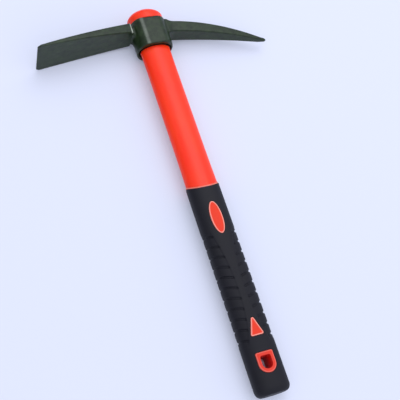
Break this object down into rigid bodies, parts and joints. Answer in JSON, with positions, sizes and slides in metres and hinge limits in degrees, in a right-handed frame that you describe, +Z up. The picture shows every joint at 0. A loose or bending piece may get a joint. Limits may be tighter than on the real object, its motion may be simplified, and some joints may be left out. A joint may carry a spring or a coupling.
{
  "type": "pick axe",
  "caption": "Small hand pick mattock: a forged head with a wide adze and a curved pick, on an oval moulded handle with a ribbed rubber grip and a hang hole.",
  "frame": {"origin": "under the middle of the whole tool, at the height of its lowest point, with the tool lying on its side", "axes": "+Y along the handle from the butt to the knob, +X from the adze to the pick, +Z up through the flat cheeks of the eye"},
  "size_m": [0.225, 0.38, 0.039],
  "materials": {
    "head_paint": "satin",
    "handle_plastic": "semi-gloss",
    "grip_rubber": "matte",
    "rod_glass_fibre": "matte",
    "bond_resin": "gloss"
  },
  "bodies": {
    "root": {"pick_head": "head_paint", "handle_jacket": "handle_plastic", "core_rod": "rod_glass_fibre", "eye_bond": "bond_resin", "grip_sleeve": "grip_rubber"}
  },
  "joints": []
}
